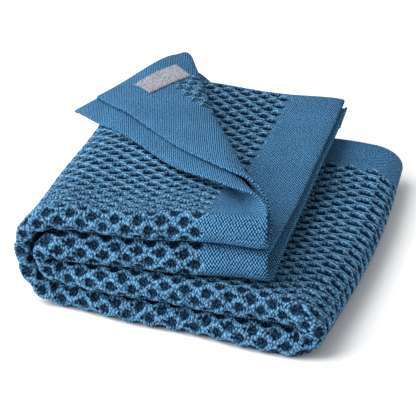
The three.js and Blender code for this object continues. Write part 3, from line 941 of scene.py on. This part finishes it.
def knit_material(sizes, fibres):
    """Blue wool: pocket knit in the field, with painted shade in its pockets and eyes and painted
    highlights on its loops and strands, moss stitch in the border.
    """
    material, wires, shader = new_material("blue_knit")
    place = cloth_place(wires)
    puffs = wires.group(fibres, {"Vector": place, "Speck size": 2.6 * MM, "Cloud size": 9 * MM})
    knit = wires.group(pocket_knit_group(), {"Flat cloth": place, "Ruffle": puffs["Specks"]})
    stitches = stitch_group()
    loops = wires.group(stitches, {"Flat cloth": place, "Size": FIELD_STITCH, "Unevenness": 0.75})
    beads = wires.group(stitches, {"Flat cloth": place, "Size": BORDER_STITCH, "Unevenness": 0.2})
    wool = wires.group(fibres, {"Vector": place, "Speck size": 0.8 * MM, "Cloud size": 40 * MM})
    share = wires.add("ShaderNodeAttribute", attribute_name="knit").outputs["Fac"]
    is_knit = wires.grade(share, 0.1, 0.3)
    grain = wires.total((loops["Loop"], 0.6), (loops["Brightness"], 0.28))
    grain_share = wires.math("MULTIPLY_ADD", knit["Fold"], 0.25, 0.7)
    # Painted highlight: the lit tops of the loops and the strands' crests lighten the net towards the lit
    # blue; the eyes darken it as painted shade
    lit = wires.total(
        (wires.math("MULTIPLY", grain, grain_share), 1.0), (knit["Strand"], 0.8), (knit["Eye"], -1.0))
    net = wires.blend(lit, (*sizes.dark_blue, 1), (*sizes.lit_blue, 1))
    inside = wires.total((loops["Loop"], 0.7), (puffs["Specks"], 0.2))
    # Painted shade: the pockets' floors are coloured near-black blue where shade falls in them, blended in
    # by the pocket mask
    floor = wires.blend(inside, (*sizes.pocket_shade_blue, 1), (*sizes.dark_blue, 1))
    speckled = wires.math("MULTIPLY", loops["Loop"], wires.math("MULTIPLY", knit["Fold"], -0.15))
    shade = wires.math("MULTIPLY", knit["Pocket"], wires.math("ADD", share, speckled))
    field = wires.blend(shade, net, floor)
    loose = wires.total((beads["Brightness"], 0.1), (wool["Specks"], -0.04))
    dots = wires.math("ADD", wires.math("MULTIPLY_ADD", beads["Loop"], 1.25, -0.1), loose)
    border = wires.blend(dots, (*sizes.border_dark, 1), (*sizes.border_light, 1))
    tone = wires.math("MULTIPLY_ADD", wool["Clouds"], 0.16, 0.92)
    toned = wires.add("ShaderNodeHueSaturation", inputs={
        "Color": wires.blend(is_knit, border, field), "Value": tone}).outputs["Color"]
    wires.feed(shader.inputs["Base Color"], toned)
    raised = wires.total(
        (loops["Loop"], 0.6), (puffs["Specks"], 0.5), (knit["Strand"], 0.6), (knit["Eye"], -1.2))
    plain = wires.total((beads["Loop"], 0.6), (wool["Specks"], 0.2))
    change = wires.math("SUBTRACT", raised, plain)
    height = wires.math("MULTIPLY_ADD", change, is_knit, plain)
    bump = wires.add("ShaderNodeBump", inputs={
        "Strength": 1.0, "Distance": 1.2 * MM, "Height": height})
    wires.feed(shader.inputs["Normal"], bump.outputs["Normal"])
    shader.inputs["Roughness"].default_value = 0.9
    shader.inputs["Specular IOR Level"].default_value = 0.05
    shader.inputs["Sheen Weight"].default_value = 0.05
    shader.inputs["Sheen Roughness"].default_value = 0.5
    shader.inputs["Sheen Tint"].default_value = (0.3, 0.6, 1.0, 1.0)
    return material


def felt_material(sizes, fibres):
    """Grey mottled wool felt."""
    material, wires, shader = new_material("grey_felt")
    place = cloth_place(wires)
    fine = wires.group(fibres, {"Vector": place, "Speck size": 1.6 * MM, "Cloud size": 4 * MM})
    mottle = wires.total((fine["Specks"], 0.6), (fine["Clouds"], 0.4))
    across, up = flat_place(wires, place)
    side = wires.math("SUBTRACT", LABEL_LENGTH / 2 - SEAM_FROM_EDGE, wires.math("ABSOLUTE", across))
    end = wires.math("SUBTRACT", LABEL_WIDTH / 2 - SEAM_FROM_EDGE, wires.math("ABSOLUTE", up))
    from_seam = wires.math("ABSOLUTE", wires.math("MINIMUM", side, end))
    shade = wires.total((mottle, 1.0), (wires.grade(from_seam, *SEAM_SHADE), -0.4))
    colour = wires.blend(shade, (*sizes.felt_dark, 1), (*sizes.felt_light, 1))
    wires.feed(shader.inputs["Base Color"], colour)
    bump = wires.add("ShaderNodeBump", inputs={
        "Strength": 0.5, "Distance": 0.4 * MM, "Height": fine["Specks"]})
    wires.feed(shader.inputs["Normal"], bump.outputs["Normal"])
    shader.inputs["Roughness"].default_value = 0.95
    shader.inputs["Specular IOR Level"].default_value = 0.2
    shader.inputs["Sheen Weight"].default_value = 0.2
    return material


def thread_material(sizes, fibres):
    """The thread of the label's seam, with its twist."""
    material, wires, shader = new_material("grey_thread")
    place = cloth_place(wires)
    fine = wires.group(fibres, {"Vector": place, "Speck size": 0.5 * MM, "Cloud size": 5 * MM})
    colour = wires.blend(fine["Specks"], (*sizes.thread_dark, 1), (*sizes.thread_light, 1))
    wires.feed(shader.inputs["Base Color"], colour)
    shader.inputs["Roughness"].default_value = 0.8
    return material


def floor_material(sizes):
    """A pale matt paper floor."""
    material, _, shader = new_material("pale_floor")
    shader.inputs["Base Color"].default_value = (*sizes.floor_colour, 1)
    shader.inputs["Roughness"].default_value = 0.9
    shader.inputs["Specular IOR Level"].default_value = 0.1
    return material


def colour_property(name, description, default):
    return bpy.props.FloatVectorProperty(
        name=name, description=description, default=default, size=3, subtype="COLOR", min=0, max=1)


class BlanketSizes(bpy.types.PropertyGroup):
    """Sizes and colours of the blanket."""

    pocket_depth: bpy.props.FloatProperty(
        name="Pocket depth", description="How deep the knit's pockets are",
        default=3.1 * MM, unit="LENGTH")
    bump_rise: bpy.props.FloatProperty(
        name="Bump rise", description="How far the knit's bumps stand up",
        default=0.7 * MM, unit="LENGTH")
    # Painted shade: the near-black blue of the pockets' floors
    pocket_shade_blue: colour_property("Pocket shade blue", "Wool at the bottom of the pockets", (0.002, 0.009, 0.024))
    dark_blue: colour_property("Dark blue", "Wool in shade between its loops", (0.0015, 0.014, 0.04))
    # Painted highlight: the lit blue of the loops' tops and the strands' crests
    lit_blue: colour_property("Lit blue", "Wool on the bright strands", (0.185, 0.455, 0.75))
    border_dark: colour_property("Border dark", "Wool between the border's stitches", (0.001, 0.012, 0.034))
    border_light: colour_property("Border light", "Wool on the border's stitches", (0.112, 0.34, 0.63))
    felt_dark: colour_property("Felt dark", "Dark fibres of the label", (0.06, 0.065, 0.085))
    felt_light: colour_property("Felt light", "Light fibres of the label", (0.41, 0.42, 0.48))
    thread_dark: colour_property("Thread dark", "Label thread in shade", (0.25, 0.25, 0.29))
    thread_light: colour_property("Thread light", "Label thread in light", (0.55, 0.55, 0.6))
    floor_colour: colour_property("Floor", "The floor under the blanket", (0.95, 0.95, 0.95))


class BLANKET_OT_cloth(bpy.types.Operator):
    """Makes the folded knitted cloth"""

    bl_idname = "blanket.cloth"
    bl_label = "Folded cloth"

    def execute(self, context):
        sizes = context.scene.blanket_sizes
        mesh = blanket_mesh(sizes)
        place_piece("folded_blanket", mesh, "blanket")
        mesh.materials.append(knit_material(sizes, shared_fibres()))
        return {"FINISHED"}


class BLANKET_OT_label(bpy.types.Operator):
    """Makes the felt label"""

    bl_idname = "blanket.label"
    bl_label = "Felt label"

    def execute(self, context):
        mesh = label_mesh()
        piece = place_piece("felt_label", mesh, "label")
        sizes = context.scene.blanket_sizes
        mesh.materials.append(felt_material(sizes, shared_fibres()))
        mesh.materials.append(thread_material(sizes, shared_fibres()))
        return {"FINISHED"}


# The stage, in metres, watts and millimetres of lens
FLOOR_HALF = 8
ROOM_LIGHT = 0.55
LIGHTS = (
    dict(name="key_light", place=(-1.9, -1.3, 3.2), power=180, size=3.2),
    dict(name="side_light", place=(-2.8, -1.8, 0.9), power=55, size=1.8),
)
CAMERA_PLACE = (0.56008, -1.96181, 1.08894)
CAMERA_AIM = (-0.00226, -0.00072, 0.02692)
CAMERA_LENS = 218.94
CAMERA_SENSOR = 36
CAMERA_SEES_TO = 50


def make_floor(scene):
    floor = bmesh.new()
    bmesh.ops.create_grid(floor, x_segments=1, y_segments=1, size=FLOOR_HALF)
    mesh = bpy.data.meshes.new("floor")
    floor.to_mesh(mesh)
    floor.free()
    floor_piece = bpy.data.objects.new("floor", mesh)
    scene.collection.objects.link(floor_piece)
    mesh.materials.append(floor_material(scene.blanket_sizes))


def light_room(scene):
    world = bpy.data.worlds.new("soft_room")
    world.use_nodes = True
    background = world.node_tree.nodes["Background"]
    background.inputs["Color"].default_value = (1, 1, 1, 1)
    background.inputs["Strength"].default_value = ROOM_LIGHT
    scene.world = world
    for entry in LIGHTS:
        light = bpy.data.lights.new(entry["name"], "AREA")
        light.energy = entry["power"]
        light.size = entry["size"]
        lamp = bpy.data.objects.new(entry["name"], light)
        lamp.location = entry["place"]
        lamp.rotation_euler = (-Vector(entry["place"])).to_track_quat("-Z", "Y").to_euler()
        scene.collection.objects.link(lamp)


def set_camera(scene):
    scene.view_settings.view_transform = "Standard"
    camera = bpy.data.cameras.new("camera")
    camera.lens = CAMERA_LENS
    camera.sensor_width = CAMERA_SENSOR
    camera.clip_end = CAMERA_SEES_TO
    viewer = bpy.data.objects.new("camera", camera)
    viewer.location = CAMERA_PLACE
    look = Vector(CAMERA_AIM) - Vector(CAMERA_PLACE)
    viewer.rotation_euler = look.to_track_quat("-Z", "Y").to_euler()
    scene.collection.objects.link(viewer)
    scene.camera = viewer


class BLANKET_OT_stage(bpy.types.Operator):
    """Makes the floor, the lights and the camera"""

    bl_idname = "blanket.stage"
    bl_label = "Floor, lights and camera"

    def execute(self, context):
        make_floor(context.scene)
        light_room(context.scene)
        set_camera(context.scene)
        return {"FINISHED"}


class BLANKET_PT_panel(bpy.types.Panel):
    """Lists the blanket's pieces in the sidebar"""

    bl_idname = "BLANKET_PT_panel"
    bl_label = "Folded blanket"
    bl_space_type = "VIEW_3D"
    bl_region_type = "UI"
    bl_category = "Blanket"

    def draw(self, context):
        for name in BlanketSizes.__annotations__:
            self.layout.prop(context.scene.blanket_sizes, name)
        for maker in (BLANKET_OT_cloth, BLANKET_OT_label, BLANKET_OT_stage):
            self.layout.operator(maker.bl_idname)


CLASSES = (BlanketSizes, BLANKET_OT_cloth, BLANKET_OT_label, BLANKET_OT_stage, BLANKET_PT_panel)


def register():
    for entry in CLASSES:
        bpy.utils.register_class(entry)
    bpy.types.Scene.blanket_sizes = bpy.props.PointerProperty(type=BlanketSizes)


def unregister():
    del bpy.types.Scene.blanket_sizes
    for entry in reversed(CLASSES):
        bpy.utils.unregister_class(entry)


def main():
    register()
    bpy.ops.blanket.stage()
    bpy.ops.blanket.cloth()
    bpy.ops.blanket.label()


if __name__ == "__main__":
    main()
